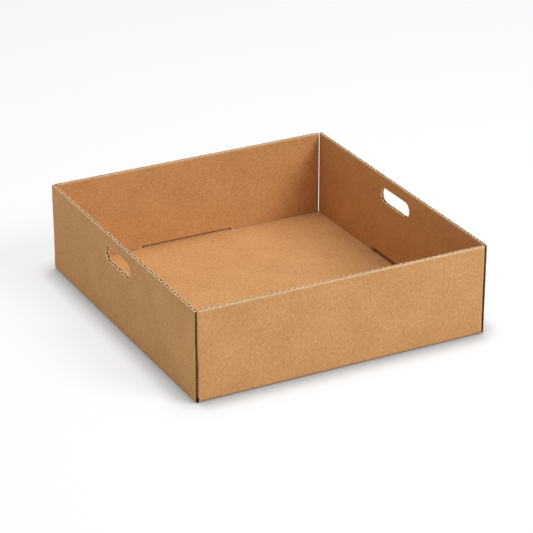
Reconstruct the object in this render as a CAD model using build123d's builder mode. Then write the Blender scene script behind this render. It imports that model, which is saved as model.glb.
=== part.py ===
"""Open cardboard tray box: one sheet of single-wall corrugated board, die cut and folded up.

Frame: millimetres, +Z up. The origin is at the middle of the underside.
X runs along the front and back walls, Y runs along the two side walls, and the front wall is at -Y.

The sheet is a base with four walls. The flutes of the board run front to back in the flat sheet,
so they stand upright in the front and back walls and lie level in the side walls. The side walls run
the whole depth. The front and back walls stand between them, with an open slit at each corner.
"""
import math
import os

from build123d import *

os.makedirs("parts", exist_ok=True)

# ---- overall size
outer_width = 400.0     # along X
outer_depth = 424.0     # along Y
outer_height = 120.0    # along Z

# ---- the corrugated board, C flute
board = 4.1             # thickness of the whole board
liner = 0.4             # flat paper on each face
medium = 0.3            # wavy paper between the liners
flute_pitch = 7.8       # one full wave of the medium
flank_slope = 1.25      # steepness of the medium between its crests
crest_height = 0.4      # height of the rounded part of each crest

# ---- folds and cut edges
fold_radius = 3.2       # outside of every fold
crease_radius = 0.8     # inside of every fold
crushed_rise = 2.4      # flutes stay pressed flat this far above the inside of a fold
edge_radius = 0.6       # liners pressed over where the knife cut along a flute
edge_web = 0.8          # least solid paper left beside the last flute at such an edge
corner_gap = 0.5        # slit between a side wall and the end of a front or back wall
side_end_setback = 0.6  # side walls stop this far inside the front and back faces
top_flute_drop = 1.2    # highest inner flute of a side wall, centre below the top edge

# ---- hand holes, one in each side wall
hole_length = 72.0
hole_height = 21.0
hole_centre_height = 94.3
hole_centre_depth = 5.0  # along Y, from the middle of the box

# ---- foot slits in the back wall and the right wall, cut from the inside down to the outer liner
slit_length = 134.0
slit_width = 1.0        # the knife cut itself
slit_rise = 1.5         # paper lip left between the base and the slit
back_slit_centre = -8.0     # along X, from the middle of the box
right_slit_centre = -11.0   # along Y, from the middle of the box

# ---- sizes that follow
half_width = outer_width / 2
half_depth = outer_depth / 2
inner_half_width = half_width - board
inner_half_depth = half_depth - board
end_wall_length = 2 * (inner_half_width - corner_gap)
side_wall_length = outer_depth - 2 * side_end_setback
core_half = board / 2 - liner
flank_rise = medium / 2 * math.sqrt(1 + flank_slope ** 2)
mouth_half = flute_pitch / 4 + (core_half - flank_rise) / flank_slope
crest_level = medium - core_half
shoulder_level = crest_level + crest_height
shoulder_half = flute_pitch / 4 + (shoulder_level - flank_rise) / flank_slope
flute_floor = board + crushed_rise
cutter_margin = 5.0     # cutting tools run this far past the faces they open


# ---- one flute channel: the gap between the liner at +Y and the wavy medium
with BuildSketch() as flute_gap:
    with BuildLine() as flute_outline:
        Line((-mouth_half, core_half), (mouth_half, core_half))
        Line((mouth_half, core_half), (shoulder_half, shoulder_level))
        ThreePointArc((shoulder_half, shoulder_level), (0, crest_level), (-shoulder_half, shoulder_level))
        Line((-shoulder_half, shoulder_level), (-mouth_half, core_half))
    make_face()

# ---- flutes of the front and back walls, seen from above: as many as fit between the cut ends
flute_reach = end_wall_length / 2 - edge_web - mouth_half
centred_flutes = 2 * math.floor(flute_reach / flute_pitch) + 1
shifted_flutes = 2 * math.floor(flute_reach / flute_pitch + 0.5)

with BuildSketch() as upright_flutes:
    with GridLocations(flute_pitch, 0, centred_flutes, 1):
        add(flute_gap.sketch)
    with GridLocations(flute_pitch, 0, shifted_flutes, 1):
        add(flute_gap.sketch, rotation=180)

# ---- flutes of a side wall, seen from its end: the highest one is cut open along the top edge
side_flute_space = outer_height - top_flute_drop - mouth_half - flute_floor
inner_flutes = math.floor(side_flute_space / flute_pitch) + 1
outer_flutes = math.floor((side_flute_space - flute_pitch / 2) / flute_pitch) + 1
inner_flute_heights = [outer_height - top_flute_drop - n * flute_pitch for n in range(inner_flutes)]
outer_flute_heights = [outer_height - top_flute_drop - (n + 0.5) * flute_pitch for n in range(outer_flutes)]

with BuildSketch(Plane.XZ) as level_flutes:
    with Locations(*[(half_width - board / 2, height) for height in inner_flute_heights]):
        add(flute_gap.sketch, rotation=90)
    with Locations(*[(half_width - board / 2, height) for height in outer_flute_heights]):
        add(flute_gap.sketch, rotation=-90)

# ---- the base and the two side walls, seen from the front
with BuildSketch(Plane.XZ) as tub_section:
    Rectangle(outer_width, outer_height, align=(Align.CENTER, Align.MIN))
    fillet(tub_section.vertices().group_by(Axis.Y)[0], fold_radius)
    with Locations((0, board)):
        Rectangle(2 * inner_half_width, outer_height, align=(Align.CENTER, Align.MIN), mode=Mode.SUBTRACT)
    inner_corners = tub_section.vertices().filter_by_position(Axis.Y, board - 0.01, board + 0.01)
    fillet(inner_corners, crease_radius)

# ---- the fold under a front or back wall, seen from the side, for the wall at +Y
with BuildSketch(Plane.YZ) as end_fold_section:
    with BuildLine() as end_fold_outline:
        Line((inner_half_depth - crease_radius, 0), (half_depth - fold_radius, 0))
        RadiusArc((half_depth - fold_radius, 0), (half_depth, fold_radius), -fold_radius)
        Line((half_depth, fold_radius), (half_depth, flute_floor))
        Line((half_depth, flute_floor), (inner_half_depth, flute_floor))
        Line((inner_half_depth, flute_floor), (inner_half_depth, board + crease_radius))
        RadiusArc((inner_half_depth, board + crease_radius), (inner_half_depth - crease_radius, board), crease_radius)
        Line((inner_half_depth - crease_radius, board), (inner_half_depth - crease_radius, 0))
    make_face()

# ---- a front or back wall above its fold, seen from above
with BuildSketch(Plane.XY.offset(flute_floor)) as end_wall_section:
    RectangleRounded(end_wall_length, board, edge_radius)
    add(upright_flutes.sketch, mode=Mode.SUBTRACT)

# ---- hand hole, seen from the side
with BuildSketch(Plane.YZ) as hand_hole:
    with Locations((hole_centre_depth, hole_centre_height)):
        SlotOverall(hole_length, hole_height)

# ---- foot slit, seen from the front: a level cut whose two ends turn down to the base
with BuildSketch() as foot_slit:
    with Locations((0, board + slit_rise)):
        Rectangle(slit_length, slit_width, align=(Align.CENTER, Align.MIN))
    with Locations(((slit_width - slit_length) / 2, board), ((slit_length - slit_width) / 2, board)):
        Rectangle(slit_width, slit_rise + slit_width, align=(Align.CENTER, Align.MIN))
    upper_corners = foot_slit.vertices().group_by(Axis.Y)[-1]
    fillet(upper_corners, 0.9 * slit_width)

# ---- one upright wall, used at both ends of the box
with BuildPart() as end_wall:
    extrude(end_wall_section.sketch, amount=outer_height - flute_floor)

# ---- the fold that carries it
with BuildPart() as end_fold:
    extrude(end_fold_section.sketch, amount=end_wall_length / 2, both=True)

# ---- the whole sheet, folded
with BuildPart() as tray:
    # base and side walls, with the level flutes of the right wall and then of the left wall
    extrude(tub_section.sketch, amount=side_wall_length / 2, both=True)
    extrude(level_flutes.sketch, amount=half_depth, both=True, mode=Mode.SUBTRACT)
    mirror(about=Plane.YZ, mode=Mode.REPLACE)
    extrude(level_flutes.sketch, amount=half_depth, both=True, mode=Mode.SUBTRACT)

    # the base stops short of both end folds, which leaves the corner slits open to the bottom
    with Locations((0, half_depth, 0), (0, -half_depth, 0)):
        Box(
            2 * inner_half_width,
            2 * (board + crease_radius),
            board + crease_radius,
            align=(Align.CENTER, Align.CENTER, Align.MIN),
            mode=Mode.SUBTRACT,
        )

    # both end folds, then the front and back walls above them
    with PolarLocations(0, 2):
        add(end_fold.part)
    with PolarLocations(half_depth - board / 2, 2, start_angle=90):
        add(end_wall.part, rotation=(0, 0, 90))

    # hand holes through both side walls at once
    extrude(hand_hole.sketch, amount=half_width + cutter_margin, both=True, mode=Mode.SUBTRACT)

    # foot slits, from the inner face of the back wall and of the right wall
    back_face = Plane(origin=(back_slit_centre, inner_half_depth, 0), x_dir=(-1, 0, 0), z_dir=(0, 1, 0))
    right_face = Plane(origin=(inner_half_width, right_slit_centre, 0), x_dir=(0, 1, 0), z_dir=(1, 0, 0))
    extrude(back_face * foot_slit.sketch, amount=board - liner, mode=Mode.SUBTRACT)
    extrude(right_face * foot_slit.sketch, amount=board - liner, mode=Mode.SUBTRACT)

tray.part.label = "tray"
export_step(tray.part, "parts/tray.step")
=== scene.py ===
"""Looks of the open cardboard tray box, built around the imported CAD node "tray".

The board is rebuilt as the papers it is made of. An outer liner and an inner liner are each one
flat blank, folded by one rule, and wavy medium fills the walls between them.
Lengths are metres in the CAD frame: Z is up and the front wall is at -Y.
"""

import math

import bpy
from mathutils import Matrix, Vector, noise


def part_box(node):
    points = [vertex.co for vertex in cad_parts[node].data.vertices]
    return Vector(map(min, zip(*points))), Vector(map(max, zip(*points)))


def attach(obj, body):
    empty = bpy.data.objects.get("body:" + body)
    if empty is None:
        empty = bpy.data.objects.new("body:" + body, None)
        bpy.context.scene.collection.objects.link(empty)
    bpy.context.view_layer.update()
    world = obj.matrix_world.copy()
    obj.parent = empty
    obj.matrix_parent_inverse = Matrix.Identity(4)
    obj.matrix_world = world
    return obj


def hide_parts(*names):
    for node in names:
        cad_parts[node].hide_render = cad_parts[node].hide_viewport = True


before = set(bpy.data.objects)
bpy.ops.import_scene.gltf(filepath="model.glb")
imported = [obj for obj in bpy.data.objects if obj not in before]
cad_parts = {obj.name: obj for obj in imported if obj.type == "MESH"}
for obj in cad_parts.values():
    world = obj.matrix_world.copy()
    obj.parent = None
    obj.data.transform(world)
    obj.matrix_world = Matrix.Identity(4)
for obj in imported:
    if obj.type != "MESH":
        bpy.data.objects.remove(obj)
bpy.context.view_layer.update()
tray_low, tray_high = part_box("tray")

MM = 0.001

# ---- overall size, from the CAD node
HALF_X = (tray_high[0] - tray_low[0]) / 2
HALF_Y = (tray_high[1] - tray_low[1]) / 2
TOP = tray_high[2]

# ---- the board, as in the CAD source
BOARD = 4.1 * MM
LINER = 0.4 * MM
MEDIUM = 0.3 * MM
PITCH = 7.8 * MM
FOLD_RADIUS = 3.2 * MM
CREASE_RADIUS = 0.8 * MM
CORNER_GAP = 0.5 * MM
SIDE_SETBACK = 0.6 * MM
TOP_FLUTE_DROP = 1.2 * MM  # the highest flute of a side wall, centre below the top edge
INNER_X = HALF_X - BOARD
INNER_Y = HALF_Y - BOARD

# ---- cut openings, as in the CAD source
HOLE_HALF_LENGTH = 36.0 * MM
HOLE_RADIUS = 10.5 * MM
HOLE_Z = 94.3 * MM
HOLE_Y = 5.0 * MM
SLIT_HALF_LENGTH = 67.0 * MM
SLIT_WIDTH = 1.6 * MM      # wider than the CAD cut: the lips stand a little apart
SLIT_BOTTOM = BOARD + 1.5 * MM
BACK_SLIT_X = -8.0 * MM
RIGHT_SLIT_Y = -11.0 * MM

# ---- how finely the papers are divided
BASE_STEP = 8.0 * MM
WALL_STEP = 4.0 * MM
HOLE_STEP = 2.5 * MM
FOLD_STEPS = 6
WAVE_STEPS = 14            # samples in one wave of the medium
FRINGE_STEP = 0.6 * MM
SAME_LINE = 0.05 * MM      # grid lines closer than this are one line
HOLE_FRAME = 5.0 * MM      # square frame of paper around a hand hole
EDGE_BAND = 0.7 * MM       # width of the scuffed pale band along a cut edge
LENGTH_SHARES = (0.0, 0.2, 0.4, 0.6, 0.8, 1.0)  # where a level flute is divided along its length

# ---- how the knife and the folding leave the papers
BURR = 1.5                 # how much thicker a liner is at its knife-cut edge
MEDIUM_BURR = 4.5          # the same for the medium, which the knife crushes
PINCH_REACH = 2.5 * MM     # how far in from a cut along the flutes the liners are pressed together
PINCH = 0.35 * MM          # how far each liner gives way at such a cut
RAW_PINCH = 1.45 * MM      # the right wall's raw ends are pressed flatter still
MEDIUM_BAND = 0.25 * MM    # height of the crushed pale lip on the medium
RIM_ZONE = 0.2 * MM        # a rim vertex this near the top edge belongs to it
RIM_DROP = 0.12 * MM       # the top edge is worn down by this on average
RIM_UNEVEN = 0.14 * MM     # and by up to this more or less
RIM_GRAIN = 5.0 * MM
MEDIUM_DROP = 0.2 * MM     # the medium is cut this far below the top edge on average
MEDIUM_UNEVEN = 0.3 * MM
MEDIUM_GRAIN = 4.0 * MM
END_PLAY = 0.3 * MM        # upright flutes stop this short of the inner liner's ends
SLIT_PLAY = 0.2 * MM       # and start this far above a foot slit
SIDE_PLAY = 0.4 * MM       # level flutes stop this short of the raw ends and of the top edge
LEAN = 0.45 * MM           # how far a wall hollows inwards at its top
LEAN_GRAIN_ALONG = 0.11    # size of one hollow along a wall, in metres
LEAN_GRAIN_UP = 0.07
LEAN_ROW_X = 3             # where the noise is read for the left wall
LEAN_ROW_Y = 7             # and for the end walls
LEAN_RISE = 3              # the lean is full from a third of the height up
INNER_CUT_BACK = 2.2 * MM  # the inner liner stops this short of the near raw ends of the side walls
INNER_END_GAP = 1.7 * MM   # and this short of the side walls at the ends of the end walls
RAW_SLANT = 2.6 * MM       # how much further back the medium is torn at a raw end's inner side
FRINGE_WAVE = 15.0 * MM    # length of one fold of the crushed medium along a cut of a side wall
FRINGE_STRAY = 2.0 * MM    # how far a fold strays along the cut
FRINGE_STRAY_GRAIN = 20.0 * MM
FRINGE_CLIP = 1.4          # a fold above 1 lies flat against a liner for part of its length
FRINGE_THIN = 0.3 * MM     # half the width of the pale lip where it lies against a liner
FRINGE_ROOT = 0.15 * MM    # half the width of the strip at its lower edge
FRINGE_DEPTH = 1.0 * MM    # height of the strip
FRINGE_DROP = 0.2 * MM     # it is cut this far below the edge on average
FRINGE_UNEVEN = 0.4 * MM
FRINGE_GRAIN = 3.0 * MM
FRINGE_PLAY = 0.3 * MM     # it stops this short of the raw ends
LEAST_DROP = 0.05 * MM     # no fringe stands higher than this below its edge
LEAST_MEDIUM_DROP = 0.02 * MM
STRAY_ROW = 3              # rows of the noise that the fringes read
DROP_ROW = 2
LINER_SHARP = math.radians(40)   # edges bent more than this are shaded as sharp
MEDIUM_SHARP = math.radians(50)

# ---- how pale a cut edge is, from 0 for brown to 1 for cream; a value below 0 is painted shade
TOP_PALE = 1.0
HOLE_PALE = 0.8
UPRIGHT_PALE = 0.25        # ends of the front and back walls
RAW_PALE = 0.3             # raw ends of the right wall
RAW_PAINTED_SHADE = -0.7          # painted shade on the raw ends of the left wall, for the dark gap at the near corner: a negative value darkens
SLIT_PAINTED_SHADE = -1.0              # painted shade on the lips of a foot slit
GLUED_PALE = 0.08          # the glued side of a rim is this share as pale
TOP_BAND_PALE = 0.3        # the face just under the top edge of a front or back wall
CREASE_SHADE = 0.7         # how far painted shade darkens the paper in the bottom of a fold
CREASE_MIDDLE = 0.45       # share of the bend at which it is darkest
CREASE_SPREAD = 0.5        # share of the bend over which that fades out


def srgb(red, green, blue):
    """An 8-bit colour as linear values with full opacity."""
    channels = [value / 255 for value in (red, green, blue)]
    return [((c + 0.055) / 1.055) ** 2.4 if c > 0.04045 else c / 12.92 for c in channels] + [1.0]


def steps(start, stop, size):
    """Evenly spaced values from start to stop, both included, about size apart."""
    count = max(1, round(abs(stop - start) / size))
    return [start + (stop - start) * k / count for k in range(count + 1)]


def wobble(x, y, z, grain, amount):
    """Smooth repeatable noise between -amount and amount, changing over about grain metres."""
    return amount * noise.noise(Vector((x, y, z)) / grain)


# ---------------------------------------------------------------- folding and mesh helpers

def press(distance):
    """How far a liner has given way at this distance from a cut along the flutes, from 0 to 1."""
    return max(1 - distance / PINCH_REACH, 0.0) ** 2


class Ply:
    """One face of the board, which knows how its flat sheet turns up into the walls.

    half_x and half_y are where the face stands in the walls, floor is its height in the base,
    radius is its bend at a fold, and facing is 1 for the outside of the box and -1 for the inside.
    """

    def __init__(self, inset, radius, facing):
        self.half_x = HALF_X - inset
        self.half_y = HALF_Y - inset
        self.floor = inset
        self.radius = radius
        self.facing = facing

    def flat_at(self, half, height):
        """Distance along the flat sheet at which the wall reaches this height."""
        return half - self.radius + self.radius * math.pi / 2 + height - self.floor - self.radius

    def turn(self, half, distance):
        """Place and outward direction, across and up, after this distance along the sheet."""
        flat_end = half - self.radius
        angle = min(max((distance - flat_end) / self.radius, 0.0), math.pi / 2)
        rise = max(distance - flat_end - self.radius * math.pi / 2, 0.0)
        across = min(distance, flat_end) + self.radius * math.sin(angle)
        up = self.floor + self.radius * (1 - math.cos(angle)) + rise
        return across, up, math.sin(angle), -math.cos(angle)

    def folded(self, u, v, depth):
        """Point of the folded sheet for the flat place (u, v), set back into the board by depth.

        The liners give way near a cut along the flutes. from_edge is the distance from the top edge
        of a side wall or from the end of an end wall, and from_end is that from a raw end of the
        right wall. Elsewhere both are out of reach.
        """
        if abs(u) > INNER_X - CORNER_GAP / 2:
            across, up, out, down = self.turn(self.half_x, abs(u))
            point = Vector((math.copysign(across, u), v, up))
            outward = Vector((math.copysign(out, u), 0, down))
            from_edge = TOP - up
            from_end = HALF_Y - SIDE_SETBACK - abs(v) if u > 0 else PINCH_REACH
        else:
            across, up, out, down = self.turn(self.half_y, abs(v))
            point = Vector((u, math.copysign(across, v), up))
            outward = Vector((0, math.copysign(out, v), down))
            from_edge = INNER_X - CORNER_GAP - abs(u) if up > BOARD + PINCH_REACH else PINCH_REACH
            from_end = PINCH_REACH
        pressed = max(PINCH * press(from_edge), RAW_PINCH * press(from_end))
        return point - outward * ((depth + pressed) * self.facing) + sag(point)


def sag(point):
    """The slight inward hollow of the left wall and of the end walls at this point.

    The right wall and the base stay flat.
    """
    x, y, z = point
    amount = LEAN * min(1.0, max(z - BOARD, 0) / TOP * LEAN_RISE)
    along_x, along_y = x / LEAN_GRAIN_ALONG, y / LEAN_GRAIN_ALONG
    up = z / LEAN_GRAIN_UP
    lean_x = amount * (0.5 + noise.noise(Vector((math.copysign(LEAN_ROW_X, x), along_y, up))))
    lean_y = amount * (0.5 + noise.noise(Vector((along_x, math.copysign(LEAN_ROW_Y, y), up))))
    in_left_wall = x < 2 * BOARD - INNER_X
    in_end_wall = abs(y) > INNER_Y - 2 * BOARD and abs(x) < INNER_X
    return Vector((lean_x if in_left_wall else 0.0,
                   -math.copysign(lean_y, y) if in_end_wall else 0.0, 0))


def add_mesh(name, points, faces):
    """A new mesh object in the scene."""
    mesh = bpy.data.meshes.new(name)
    mesh.from_pydata(points, [], faces)
    piece = bpy.data.objects.new(name, mesh)
    bpy.context.scene.collection.objects.link(piece)
    return piece


def set_values(mesh, name, values):
    """One number for each vertex, which the materials read by this name."""
    mesh.attributes.new(name, "FLOAT", "POINT").data.foreach_set("value", values)


# ---------------------------------------------------------------- the liners

def nearest_on_hole(along, height, radius):
    """The point of the hand hole's outline, grown to this radius, nearest to a point of its wall."""
    straight = HOLE_HALF_LENGTH - HOLE_RADIUS
    anchor = min(max(along, HOLE_Y - straight), HOLE_Y + straight)
    reach = math.hypot(along - anchor, height - HOLE_Z)
    return (anchor + (along - anchor) * radius / reach, HOLE_Z + (height - HOLE_Z) * radius / reach)


def wall_lines(ply, half, gaps):
    """Flat distances of the grid lines from the middle of the base up one wall to its top edge."""
    fold_start = half - ply.radius
    fold_end = fold_start + ply.radius * math.pi / 2
    top = ply.flat_at(half, TOP)
    lines = steps(0, fold_start, BASE_STEP)
    lines += steps(fold_start, fold_end, ply.radius * math.pi / 2 / FOLD_STEPS)
    marks = [fold_end, top - PINCH_REACH, top - PINCH_REACH / 2, top - EDGE_BAND, top]
    marks = sorted(marks + [ply.flat_at(half, height) for height in gaps])
    for low, high in zip(marks, marks[1:]):
        lines += steps(low, high, WALL_STEP)
    return lines


def tidy_lines(lines):
    """Sorted values on both sides of zero, without repeats."""
    whole = sorted(set(round(value, 7) for value in lines) | set(round(-value, 7) for value in lines))
    kept = [whole[0]]
    for value in whole[1:]:
        if value - kept[-1] > SAME_LINE:
            kept.append(value)
    return kept


def make_liner(name, ply, slits):
    """One liner: a cross-shaped blank with corner slits and hand holes, folded up.

    The foot slits are cut into the inner liner only, so slits says whether this liner has them.
    """
    end_gap = INNER_END_GAP if slits else CORNER_GAP
    end_half = INNER_X - end_gap
    side_end = HALF_Y - SIDE_SETBACK
    near_end = side_end - (INNER_CUT_BACK if slits else 0)
    corner_stop = INNER_Y - CREASE_RADIUS
    top_u = ply.flat_at(ply.half_x, TOP)
    top_v = ply.flat_at(ply.half_y, TOP)
    hole_u = [ply.flat_at(ply.half_x, HOLE_Z + side * (HOLE_RADIUS + HOLE_FRAME)) for side in (-1, 1)]
    hole_v = [HOLE_Y + side * (HOLE_HALF_LENGTH + HOLE_FRAME) for side in (-1, 1)]
    slit_heights = [SLIT_BOTTOM, SLIT_BOTTOM + SLIT_WIDTH]
    hole_heights = [HOLE_Z - HOLE_RADIUS - HOLE_FRAME, HOLE_Z + HOLE_RADIUS + HOLE_FRAME]

    u_lines = wall_lines(ply, ply.half_x, slit_heights + hole_heights)
    u_lines += steps(hole_u[0], hole_u[1], HOLE_STEP)
    u_lines += [end_half - PINCH_REACH, end_half - PINCH_REACH / 2, end_half - EDGE_BAND, end_half]
    u_lines += [end_half + end_gap, end_half + end_gap + EDGE_BAND]
    v_lines = wall_lines(ply, ply.half_y, slit_heights)
    v_lines += steps(0, hole_v[1], HOLE_STEP) + [-hole_v[0]]
    v_lines += [side_end, side_end - EDGE_BAND, near_end, near_end - EDGE_BAND, corner_stop]
    for end in (-SLIT_HALF_LENGTH, SLIT_WIDTH - SLIT_HALF_LENGTH,
                SLIT_HALF_LENGTH - SLIT_WIDTH, SLIT_HALF_LENGTH):
        u_lines.append(BACK_SLIT_X + end)
        v_lines.append(RIGHT_SLIT_Y + end)
    u_lines = tidy_lines(u_lines)
    v_lines = tidy_lines(v_lines)

    def in_slit(along, up, half):
        """Whether a place on a slit wall lies in the long cut or in the leg at either end of it."""
        if abs(along) > SLIT_HALF_LENGTH or up > ply.flat_at(half, SLIT_BOTTOM + SLIT_WIDTH):
            return False
        in_leg = abs(along) > SLIT_HALF_LENGTH - SLIT_WIDTH and up > half - ply.radius
        return in_leg or up > ply.flat_at(half, SLIT_BOTTOM)

    def is_paper(u, v):
        """Whether the middle of a grid cell lies on the blank."""
        across, deep = abs(u), abs(v)
        if across > top_u or deep > top_v:
            return False
        if across > end_half and (deep > side_end or v < -near_end):
            return False
        if end_half < across < end_half + end_gap and deep > corner_stop:
            return False
        if hole_u[0] < across < hole_u[1] and hole_v[0] < v < hole_v[1]:
            return False
        if slits and in_slit(v - RIGHT_SLIT_Y, u, ply.half_x):
            return False
        if slits and in_slit(u - BACK_SLIT_X, v, ply.half_y):
            return False
        return True

    flat = {}        # flat place -> vertex number
    places = []
    cells = []

    def vertex(u, v):
        key = (round(u, 6), round(v, 6))
        if key not in flat:
            flat[key] = len(places)
            places.append((u, v))
        return flat[key]

    for u0, u1 in zip(u_lines, u_lines[1:]):
        for v0, v1 in zip(v_lines, v_lines[1:]):
            if is_paper((u0 + u1) / 2, (v0 + v1) / 2):
                cells.append([vertex(u0, v0), vertex(u1, v0), vertex(u1, v1), vertex(u0, v1)])

    # rings of paper from the square frame to the rounded outline of each hand hole
    for sign in (-1, 1):
        frame_u = [u for u in u_lines if hole_u[0] - 1e-6 <= sign * u <= hole_u[1] + 1e-6]
        frame_v = [v for v in v_lines if hole_v[0] - 1e-6 <= v <= hole_v[1] + 1e-6]
        loop = [(frame_u[0], v) for v in frame_v]
        loop += [(u, frame_v[-1]) for u in frame_u[1:]]
        loop += [(frame_u[-1], v) for v in reversed(frame_v[:-1])]
        loop += [(u, frame_v[0]) for u in reversed(frame_u[1:-1])]
        rings = [[vertex(u, v) for u, v in loop]]
        zero = ply.flat_at(ply.half_x, 0)
        band_radius = HOLE_RADIUS + EDGE_BAND
        for share, radius in ((0.5, band_radius), (1, band_radius), (1, HOLE_RADIUS)):
            ring = []
            for u, v in loop:
                along, height = nearest_on_hole(v, abs(u) - zero, radius)
                ring_u = u + share * (sign * (height + zero) - u)
                ring.append(vertex(ring_u, v + share * (along - v)))
            rings.append(ring)
        for outer, inner in zip(rings, rings[1:]):
            for k in range(len(loop)):
                after = (k + 1) % len(loop)
                cells.append([outer[k], outer[after], inner[after], inner[k]][::sign])

    def paleness(u, v):
        """How pale a rim is at this flat place; below 0 it is how much shade is painted on the rim."""
        across, deep = abs(u), abs(v)
        if min(abs(across - top_u), abs(deep - top_v)) < EDGE_BAND / 2:
            return TOP_PALE
        if hole_u[0] < across < hole_u[1] and hole_v[0] < v < hole_v[1]:
            return HOLE_PALE
        if deep > corner_stop and across < end_half + EDGE_BAND / 2:
            return UPRIGHT_PALE
        # painted shade on the lips of a foot slit
        if deep < corner_stop:
            return SLIT_PAINTED_SHADE
        # the right wall's raw ends are paler, and painted shade darkens those of the left wall
        return RAW_PALE if u > 0 else RAW_PAINTED_SHADE

    def face_pale(u, v):
        """How pale the face is at this place, away from the rims."""
        return TOP_BAND_PALE if top_v - abs(v) < PINCH_REACH - EDGE_BAND else 0.0

    return build_sheet(name, ply, places, cells, paleness, face_pale)


def crease_depth(ply, u, v):
    """How deep in a fold's shade a flat place is, from 0 to 1."""
    in_side_fold = abs(u) > ply.half_x - 2 * ply.radius
    past_half = abs(u) - ply.half_x if in_side_fold else abs(v) - ply.half_y
    turned = (past_half + ply.radius) / (ply.radius * math.pi / 2)
    return max(0.0, 1 - abs(turned - CREASE_MIDDLE) / CREASE_SPREAD)


def build_sheet(name, ply, places, cells, paleness, face_pale):
    """A mesh object: the exposed face, the glued face, and the cut rim between them."""
    edge_use = {}
    for cell in cells:
        for a, b in zip(cell, cell[1:] + cell[:1]):
            edge_use.setdefault((min(a, b), max(a, b)), []).append((a, b))
    rim = [uses[0] for uses in edge_use.values() if len(uses) == 1]
    on_rim = set(index for pair in rim for index in pair)

    count = len(places)
    points = []
    for depth in (0.0, LINER):
        for index, (u, v) in enumerate(places):
            point = ply.folded(u, v, depth * BURR if index in on_rim else depth)
            if index in on_rim and point.z > TOP - RIM_ZONE:
                point.z -= RIM_DROP + wobble(point.x, point.y, 0, RIM_GRAIN, RIM_UNEVEN)
            points.append(point)
    near = [cell if ply.facing > 0 else cell[::-1] for cell in cells]
    far = [[index + count for index in cell[::-1]] for cell in near]
    sides = []
    for a, b in rim:
        quad = [b, a, a + count, b + count]
        sides.append(quad if ply.facing > 0 else quad[::-1])

    piece = add_mesh(name, points, near + far + sides)
    mesh = piece.data
    uv = mesh.uv_layers.new(name="blank")
    cuts = []
    painted_shades = []
    for index in range(2 * count):
        u, v = places[index % count]
        pale = paleness(u, v) if index % count in on_rim else face_pale(u, v)
        cuts.append(max(pale, 0.0) * (1.0 if index < count else GLUED_PALE))
        # painted shade: the shade of a fold, or that of a rim whose paleness is below 0
        painted_shades.append(max(crease_depth(ply, u, v), -pale))
    set_values(mesh, "cut", cuts)
    set_values(mesh, "painted_shade", painted_shades)
    for loop in mesh.loops:
        uv.data[loop.index].uv = places[loop.vertex_index % count]
    # the exposed face and the rim are liner paper, and the glued face gets the dark flute paper, painted
    # shade for the hollows between the flutes
    slots = [0] * len(near) + [1] * len(far) + [0] * len(sides)
    mesh.polygons.foreach_set("material_index", slots)
    mesh.shade_smooth()
    mesh.set_sharp_from_angle(angle=LINER_SHARP)
    return piece


# ---------------------------------------------------------------- the medium

def wave_points(start, stop, peak):
    """Samples of the wavy medium: place, offset from mid-board, and direction through the paper."""
    swing = BOARD / 2 - LINER - MEDIUM / 2
    samples = []
    for place in steps(start, stop, PITCH / WAVE_STEPS):
        turn = 2 * math.pi * (place - peak) / PITCH
        slope = -swing * math.sin(turn) * 2 * math.pi / PITCH
        length = math.hypot(1, slope)
        samples.append((place, swing * math.cos(turn), -slope / length, 1 / length))
    return samples


def ribbon(name, samples, stations_of, place_at):
    """A thick strip of medium.

    stations_of gives the stations along the flute for one sample of the wave, as (distance, cut)
    pairs, where cut is how pale and swollen the paper is there, from 0 to 1. Every sample has the
    same number of stations. place_at gives the point for a place, an offset and a distance.
    """
    points = []
    cuts = []
    faces = []
    rows = [stations_of(sample[0]) for sample in samples]
    for (place, offset, through_place, through_offset), stations in zip(samples, rows):
        for distance, cut in stations:
            half = MEDIUM / 2 * (1 + (MEDIUM_BURR - 1) * cut)
            for face in (half, -half):
                points.append(place_at(place + through_place * face, offset + through_offset * face,
                                       distance))
                cuts.append(float(cut))
    count = len(rows[0])

    def at(row, station, face):
        return (row * count + station) * 2 + face

    for row in range(len(rows) - 1):
        for station in range(count - 1):
            for face in (0, 1):
                quad = [at(row, station, face), at(row + 1, station, face),
                        at(row + 1, station + 1, face), at(row, station + 1, face)]
                faces.append(quad if face == 0 else quad[::-1])
        for station in (0, count - 1):
            faces.append([at(row, station, 0), at(row + 1, station, 0),
                          at(row + 1, station, 1), at(row, station, 1)])
    piece = add_mesh(name, points, faces)
    set_values(piece.data, "cut", cuts)
    piece.data.shade_smooth()
    piece.data.set_sharp_from_angle(angle=MEDIUM_SHARP)
    return piece


def make_end_medium(name, side):
    """Upright flutes of the front wall (side -1) or the back wall (side 1)."""
    middle = HALF_Y - BOARD / 2
    reach = INNER_X - INNER_END_GAP - END_PLAY
    bottom = SLIT_BOTTOM + SLIT_WIDTH + SLIT_PLAY

    def stations_of(x):
        drop = MEDIUM_DROP + wobble(x, side, 0, MEDIUM_GRAIN, MEDIUM_UNEVEN)
        top = TOP - max(drop, LEAST_MEDIUM_DROP)
        return [(bottom, 0), (TOP / 2, 0), (top - MEDIUM_BAND, 0), (top, 1)]

    def place_at(x, offset, z):
        point = Vector((x, side * (middle + offset), z))
        return point + sag(point)

    return ribbon(name, wave_points(-reach, reach, PITCH / 2), stations_of, place_at)


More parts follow.
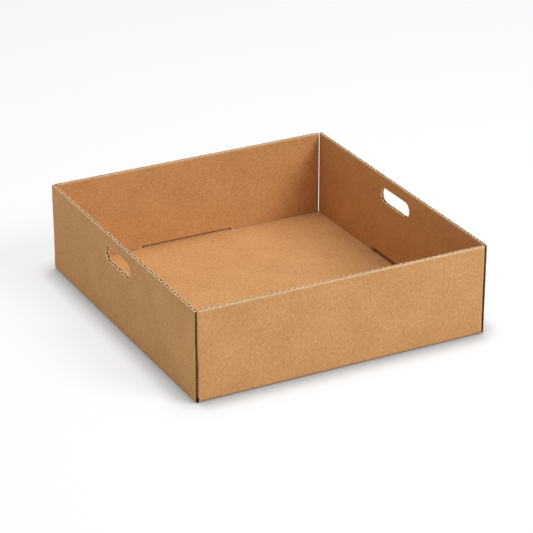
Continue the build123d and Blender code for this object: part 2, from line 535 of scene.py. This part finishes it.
def make_side_medium(name, side):
    """Level flutes of the left wall (side -1) or the right wall (side 1), in two lengths each."""
    middle = HALF_X - BOARD / 2
    reach = HALF_Y - SIDE_SETBACK - SIDE_PLAY
    straight = HOLE_HALF_LENGTH - HOLE_RADIUS
    samples = wave_points(FOLD_RADIUS, TOP - SIDE_PLAY, TOP - TOP_FLUTE_DROP)
    pieces = []
    for half in (-1, 1):

        def stations_of(z):
            drop = abs(z - HOLE_Z)
            cut = drop < HOLE_RADIUS
            chord = straight + math.sqrt(HOLE_RADIUS ** 2 - drop ** 2) + half * HOLE_Y if cut else 0.0
            room = reach - chord - MEDIUM_BAND - PINCH_REACH
            marks = [(chord, HOLE_PALE if cut else 0)]
            marks += [(chord + MEDIUM_BAND + room * share, 0) for share in LENGTH_SHARES]
            marks.append((reach, RAW_PALE))
            return [(half * mark, pale) for mark, pale in marks]

        def place_at(z, offset, y):
            inward = 0.5 - offset / (BOARD - 2 * LINER)
            at_end = press(reach - abs(y))
            squeeze = 1 - at_end * RAW_PINCH / (BOARD / 2) if side > 0 else 1.0
            torn = y - half * RAW_SLANT * inward * at_end
            point = Vector((side * (middle + offset * squeeze), torn, min(z, TOP - TOP_FLUTE_DROP)))
            return point + sag(point)

        end = "_front" if half < 0 else "_back"
        pieces.append(ribbon(name + end, samples, stations_of, place_at))
    return pieces


def make_fringe(name, side, edge_height, ends):
    """A strip of crumpled medium between the pinched liners of a side wall, along a cut that faces up.

    It swings from one liner to the other, and its lip is widest where it crosses between them.
    """
    middle = HALF_X - BOARD / 2
    room = BOARD / 2 - LINER * BURR - PINCH
    points = []
    cuts = []
    faces = []
    for index, y in enumerate(steps(ends[0], ends[1], FRINGE_STEP)):
        stray = wobble(side, y, STRAY_ROW, FRINGE_STRAY_GRAIN, FRINGE_STRAY)
        fold = FRINGE_CLIP * math.sin(2 * math.pi * (y + stray) / FRINGE_WAVE)
        swing = room * max(min(fold, 1.0), -1.0)
        drop = FRINGE_DROP + wobble(side, y, DROP_ROW, FRINGE_GRAIN, FRINGE_UNEVEN)
        top = edge_height - max(drop, LEAST_DROP)
        foot = top - FRINGE_DEPTH
        lip = FRINGE_THIN + (room - FRINGE_THIN) * max(1 - abs(fold), 0.0)
        for across, height, cut in ((-lip, top, 1), (lip, top, 1),
                                    (FRINGE_ROOT, foot, 0), (-FRINGE_ROOT, foot, 0)):
            point = Vector((side * (middle + swing + across), y, height))
            points.append(point + sag(point))
            cuts.append(float(cut))
        if index:
            last = 4 * (index - 1)
            for corner in range(4):
                after = (corner + 1) % 4
                quad = [last + corner, last + after, last + 4 + after, last + 4 + corner]
                faces.append(quad if side > 0 else quad[::-1])
    piece = add_mesh(name, points, faces)
    set_values(piece.data, "cut", cuts)
    return piece


# ---------------------------------------------------------------- materials

CLOUD_WEIGHT = 0.55        # how strongly each size of spot changes the tone of the liner
PULP_WEIGHT = 1.0
FIBRE_WEIGHT = 1.9
TONE_RANGE = 0.38          # tones this far either side of the middle are fully pale or fully deep
FLECK_START = 0.70         # noise above this begins to show as a dark fleck
FLECK_FULL = 0.80
FLECK_SHARE = 0.35         # how dark a full fleck is
WASHBOARD_WEIGHT = 0.25    # how strongly the flutes show through in the relief


class Graph:
    """Short calls for building one material's nodes."""

    def __init__(self, name):
        self.material = bpy.data.materials.new(name)
        self.material.use_nodes = True
        self.tree = self.material.node_tree
        self.shader = self.tree.nodes["Principled BSDF"]

    def add(self, kind, inputs=None, **settings):
        node = self.tree.nodes.new(kind)
        for key, value in settings.items():
            setattr(node, key, value)
        for key, value in (inputs or {}).items():
            self.put(value, node.inputs[key])
        return node

    def put(self, value, socket):
        if isinstance(value, bpy.types.NodeSocket):
            self.tree.links.new(value, socket)
        else:
            socket.default_value = value

    def maths(self, operation, first, second=0.0):
        return self.add("ShaderNodeMath", {0: first, 1: second}, operation=operation).outputs[0]

    def blend(self, share, first, second, mode="MIX"):
        node = self.add("ShaderNodeMix", {"Factor": share}, data_type="RGBA", blend_type=mode)
        self.put(first, node.inputs[6])
        self.put(second, node.inputs[7])
        return node.outputs[2]

    def ramp(self, value, low, high):
        node = self.add("ShaderNodeMapRange", {"Value": value, "From Min": low, "From Max": high})
        return node.outputs["Result"]

    def speckle(self, place, size, stretch, turn, detail=2.0, rough=0.6):
        """Noise whose spots are about size metres wide and stretched along one direction."""
        mapped = self.add("ShaderNodeMapping", {"Vector": place, "Rotation": (0, 0, turn),
                                                "Scale": (1 / size / stretch, 1 / size, 1 / size)})
        node = self.add("ShaderNodeTexNoise", {"Vector": mapped.outputs[0], "Scale": 1.0,
                                               "Detail": detail, "Roughness": rough})
        return node.outputs["Fac"]


def kraft_paper(name, pale, deep, fleck, edge_colour, fold_shade_colour):
    """Kraft liner: cloudy pulp, short fibres, a few dark flecks, pale scuffed cut edges, and painted
    shade in the folds and on shaded rims.
    """
    g = Graph(name)
    place = g.add("ShaderNodeUVMap", uv_map="blank").outputs[0]
    clouds = g.speckle(place, 48 * MM, 1.0, 0.0, detail=2.0)
    pulp = g.speckle(place, 4.2 * MM, 1.25, 0.25, detail=3.0)
    fibre_a = g.speckle(place, 0.8 * MM, 2.6, 0.3)
    fibre_b = g.speckle(place, 0.75 * MM, 2.4, -1.2)
    spots = g.speckle(place, 1.1 * MM, 1.6, 0.9, detail=1.0)

    fine = g.maths("ADD", fibre_a, fibre_b)
    tone = g.maths("MULTIPLY", g.maths("SUBTRACT", clouds, 0.5), CLOUD_WEIGHT)
    tone = g.maths("ADD", tone, g.maths("MULTIPLY", g.maths("SUBTRACT", pulp, 0.5), PULP_WEIGHT))
    tone = g.maths("ADD", tone, g.maths("MULTIPLY", g.maths("SUBTRACT", fine, 1.0), FIBRE_WEIGHT))
    colour = g.blend(g.ramp(tone, -TONE_RANGE, TONE_RANGE), deep, pale)
    flecked = g.maths("MULTIPLY", g.ramp(spots, FLECK_START, FLECK_FULL), FLECK_SHARE)
    colour = g.blend(flecked, colour, fleck)
    cut = g.add("ShaderNodeAttribute", attribute_name="cut").outputs["Fac"]
    scuffed = g.maths("MULTIPLY", cut, g.ramp(fibre_a, 0.1, 0.45))
    colour = g.blend(scuffed, colour, edge_colour)
    # painted shade: the bottoms of folds, the lips of the foot slits and the left wall's raw ends are
    # darkened towards a dark brown
    painted_shade = g.add("ShaderNodeAttribute", attribute_name="painted_shade").outputs["Fac"]
    colour = g.blend(g.maths("MULTIPLY", painted_shade, CREASE_SHADE), colour, fold_shade_colour)
    g.put(colour, g.shader.inputs["Base Color"])
    rough = g.add("ShaderNodeMapRange", {"Value": tone, "From Min": -0.5, "From Max": 0.5,
                                         "To Min": 0.86, "To Max": 0.72})
    g.put(rough.outputs["Result"], g.shader.inputs["Roughness"])
    g.shader.inputs["Specular IOR Level"].default_value = 0.25

    # the flutes show very faintly through the liner, under the grain of the paper
    across = g.add("ShaderNodeSeparateXYZ", {"Vector": place}).outputs["X"]
    washboard = g.maths("SINE", g.maths("MULTIPLY", across, 2 * math.pi / PITCH))
    ridges = g.maths("MULTIPLY", washboard, WASHBOARD_WEIGHT)
    relief = g.maths("ADD", ridges, g.maths("ADD", fine, pulp))
    bump = g.add("ShaderNodeBump", {"Height": relief, "Strength": 0.35, "Distance": 0.12 * MM})
    g.put(bump.outputs[0], g.shader.inputs["Normal"])
    return g.material


def flute_paper(name, pale, deep, edge_colour):
    """Recycled medium: darker, rougher paper, with loose fibres."""
    g = Graph(name)
    place = g.add("ShaderNodeTexCoord").outputs["Object"]
    fibres = g.speckle(place, 0.8 * MM, 1.0, 0.0)
    lumps = g.speckle(place, 4 * MM, 1.0, 0.0)
    tone = g.maths("ADD", g.maths("MULTIPLY", fibres, 0.6), g.maths("MULTIPLY", lumps, 0.4))
    colour = g.blend(g.ramp(tone, 0.35, 0.65), deep, pale)
    cut = g.add("ShaderNodeAttribute", attribute_name="cut").outputs["Fac"]
    colour = g.blend(cut, colour, edge_colour)
    g.put(colour, g.shader.inputs["Base Color"])
    g.shader.inputs["Roughness"].default_value = 0.9
    g.shader.inputs["Specular IOR Level"].default_value = 0.15
    bump = g.add("ShaderNodeBump", {"Height": fibres, "Strength": 0.5, "Distance": 0.1 * MM})
    g.put(bump.outputs[0], g.shader.inputs["Normal"])
    return g.material


def dress(piece, material):
    """Gives a piece its material and says what it is part of."""
    piece.data.materials.append(material)
    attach(piece, "root")
    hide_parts("tray")


kraft = kraft_paper("kraft_liner", pale=srgb(222, 171, 116), deep=srgb(188, 136, 84),
                    fleck=srgb(120, 78, 42), edge_colour=srgb(255, 232, 196),
                    fold_shade_colour=srgb(70, 42, 18))
flutes = flute_paper("flute_medium", pale=srgb(104, 66, 34), deep=srgb(70, 42, 20),
                     edge_colour=srgb(240, 206, 160))

outer_liner = make_liner("outer_liner", Ply(0.0, FOLD_RADIUS, 1), slits=False)
inner_liner = make_liner("inner_liner", Ply(BOARD, CREASE_RADIUS, -1), slits=True)
for liner in (outer_liner, inner_liner):
    dress(liner, kraft)
    # the glued face takes the dark flute paper as painted shade inside the flutes
    liner.data.materials.append(flutes)
for wall, side in (("front_flutes", -1), ("back_flutes", 1)):
    dress(make_end_medium(wall, side), flutes)
for wall, side in (("left_flutes", -1), ("right_flutes", 1)):
    for piece in make_side_medium(wall, side):
        dress(piece, flutes)
side_reach = HALF_Y - SIDE_SETBACK - FRINGE_PLAY
hole_straight = HOLE_HALF_LENGTH - HOLE_RADIUS
for wall, side in (("left", -1), ("right", 1)):
    dress(make_fringe(wall + "_top_fringe", side, TOP, (-side_reach, side_reach)), flutes)
    dress(make_fringe(wall + "_hole_fringe", side, HOLE_Z - HOLE_RADIUS,
                      (HOLE_Y - hole_straight, HOLE_Y + hole_straight)), flutes)


# ---------------------------------------------------------------- stage, light and camera

FLOOR_HALF = 6.0
FLOOR_WHITE = 0.75         # what light on the tray sees
FLOOR_GLOW = 0.645         # what the camera sees is this glow with the paint below added
FLOOR_PAINT = (0.345, 0.35, 0.362, 1)
CONTACT_REACH = 0.035      # how near the tray the painted contact shadow darkens the floor, in metres
CONTACT_CLOSED = 0.4       # openness of the floor at which it is darkest
CONTACT_OPEN = 0.96        # and at which it is fully pale
CONTACT_DARK = 0.35        # share of the pale level that is left at its darkest
WORLD_STRENGTH = 0.365
WORLD_TINT = (1, 0.98, 0.94, 1)
BACKDROP_WHITE = 0.98      # what the camera sees past the floor
CAMERA_AZIMUTH = math.radians(-27.59)
CAMERA_ELEVATION = math.radians(25.04)
CAMERA_PLACE = (-1.2339, -2.3696, 1.2950)
CAMERA_SENSOR = 36.0       # millimetres, as is the lens
CAMERA_LENS = 156.2


def make_floor():
    """A large pale floor that keeps the soft shadow, has a contact shadow painted near the tray, and
    reads as white elsewhere.
    """
    turns = ((-1, -1), (1, -1), (1, 1), (-1, 1))
    corners = [(FLOOR_HALF * x, FLOOR_HALF * y, 0) for x, y in turns]
    floor = add_mesh("floor", corners, [[0, 1, 2, 3]])
    g = Graph("floor_white")
    g.shader.inputs["Base Color"].default_value = (FLOOR_WHITE, FLOOR_WHITE, FLOOR_WHITE, 1)
    g.shader.inputs["Roughness"].default_value = 0.9
    g.shader.inputs["Specular IOR Level"].default_value = 0.0
    seen = g.add("ShaderNodeLightPath").outputs["Is Camera Ray"]
    # painted shadow: where the tray is near, the floor's glow and paint are darkened
    openness = g.add("ShaderNodeAmbientOcclusion", {"Distance": CONTACT_REACH}, samples=16).outputs["AO"]
    contact_painted_shade = g.add("ShaderNodeMapRange", {"Value": openness, "From Min": CONTACT_CLOSED,
                                             "From Max": CONTACT_OPEN, "To Min": CONTACT_DARK,
                                             "To Max": 1.0})
    shade = contact_painted_shade.outputs["Result"]
    glow = g.add("ShaderNodeEmission", {"Color": (1, 1, 1, 1),
                                        "Strength": g.maths("MULTIPLY", shade, FLOOR_GLOW)})
    paint_colour = g.blend(shade, (0, 0, 0, 1), FLOOR_PAINT)
    paint = g.add("ShaderNodeBsdfDiffuse", {"Color": paint_colour})
    shown = g.add("ShaderNodeAddShader", {0: glow.outputs[0], 1: paint.outputs[0]})
    both = g.add("ShaderNodeMixShader", {0: seen, 1: g.shader.outputs[0], 2: shown.outputs[0]})
    output = g.tree.nodes["Material Output"]
    g.tree.links.new(both.outputs[0], output.inputs["Surface"])
    floor.data.materials.append(g.material)


def make_light(name, place, aim, width, height, power, tint):
    """A soft rectangular lamp."""
    lamp = bpy.data.lights.new(name, "AREA")
    lamp.shape = "RECTANGLE"
    lamp.size = width
    lamp.size_y = height
    lamp.energy = power
    lamp.color = tint
    holder = bpy.data.objects.new(name, lamp)
    holder.location = place
    holder.rotation_euler = (Vector(aim) - Vector(place)).to_track_quat("-Z", "Y").to_euler()
    holder.visible_camera = False
    bpy.context.scene.collection.objects.link(holder)


def make_world():
    """Even, slightly warm surroundings, seen as plain white by the camera."""
    world = bpy.data.worlds.new("studio")
    bpy.context.scene.world = world
    world.use_nodes = True
    tree = world.node_tree
    sky = tree.nodes["Background"]
    sky.inputs["Color"].default_value = WORLD_TINT
    path = tree.nodes.new("ShaderNodeLightPath")
    level = tree.nodes.new("ShaderNodeMix")
    level.data_type = "FLOAT"
    tree.links.new(path.outputs["Is Camera Ray"], level.inputs["Factor"])
    level.inputs["A"].default_value = WORLD_STRENGTH
    level.inputs["B"].default_value = BACKDROP_WHITE
    tree.links.new(level.outputs["Result"], sky.inputs["Strength"])


def make_camera():
    """A long lens, looking down at the near left corner of the box."""
    level = math.cos(CAMERA_ELEVATION)
    back = Vector((math.sin(CAMERA_AZIMUTH) * level, -math.cos(CAMERA_AZIMUTH) * level,
                   math.sin(CAMERA_ELEVATION)))
    right = Vector((math.cos(CAMERA_AZIMUTH), math.sin(CAMERA_AZIMUTH), 0))
    up = back.cross(right)
    camera = bpy.data.cameras.new("camera")
    camera.sensor_width = CAMERA_SENSOR
    camera.lens = CAMERA_LENS
    holder = bpy.data.objects.new("camera", camera)
    turn = Matrix((right, up, back)).transposed().to_4x4()
    holder.matrix_world = Matrix.Translation(Vector(CAMERA_PLACE)) @ turn
    bpy.context.scene.collection.objects.link(holder)
    bpy.context.scene.camera = holder


make_floor()
make_world()
make_light("key", place=(1.6, -2.35, 2.45), aim=(0, 0, 0.05), width=1.6, height=1.6, power=80,
           tint=(1.0, 0.985, 0.965))
make_light("overhead", place=(0.15, 0.25, 2.35), aim=(0, 0, 0), width=1.2, height=1.2, power=20,
           tint=(1, 1, 1))
make_light("low_left", place=(-1.6, 0.2, 0.12), aim=(0, 0.05, 0.06), width=2.0, height=0.22, power=3.5,
           tint=(1, 1, 1))
make_camera()
bpy.context.scene.view_settings.view_transform = "Standard"
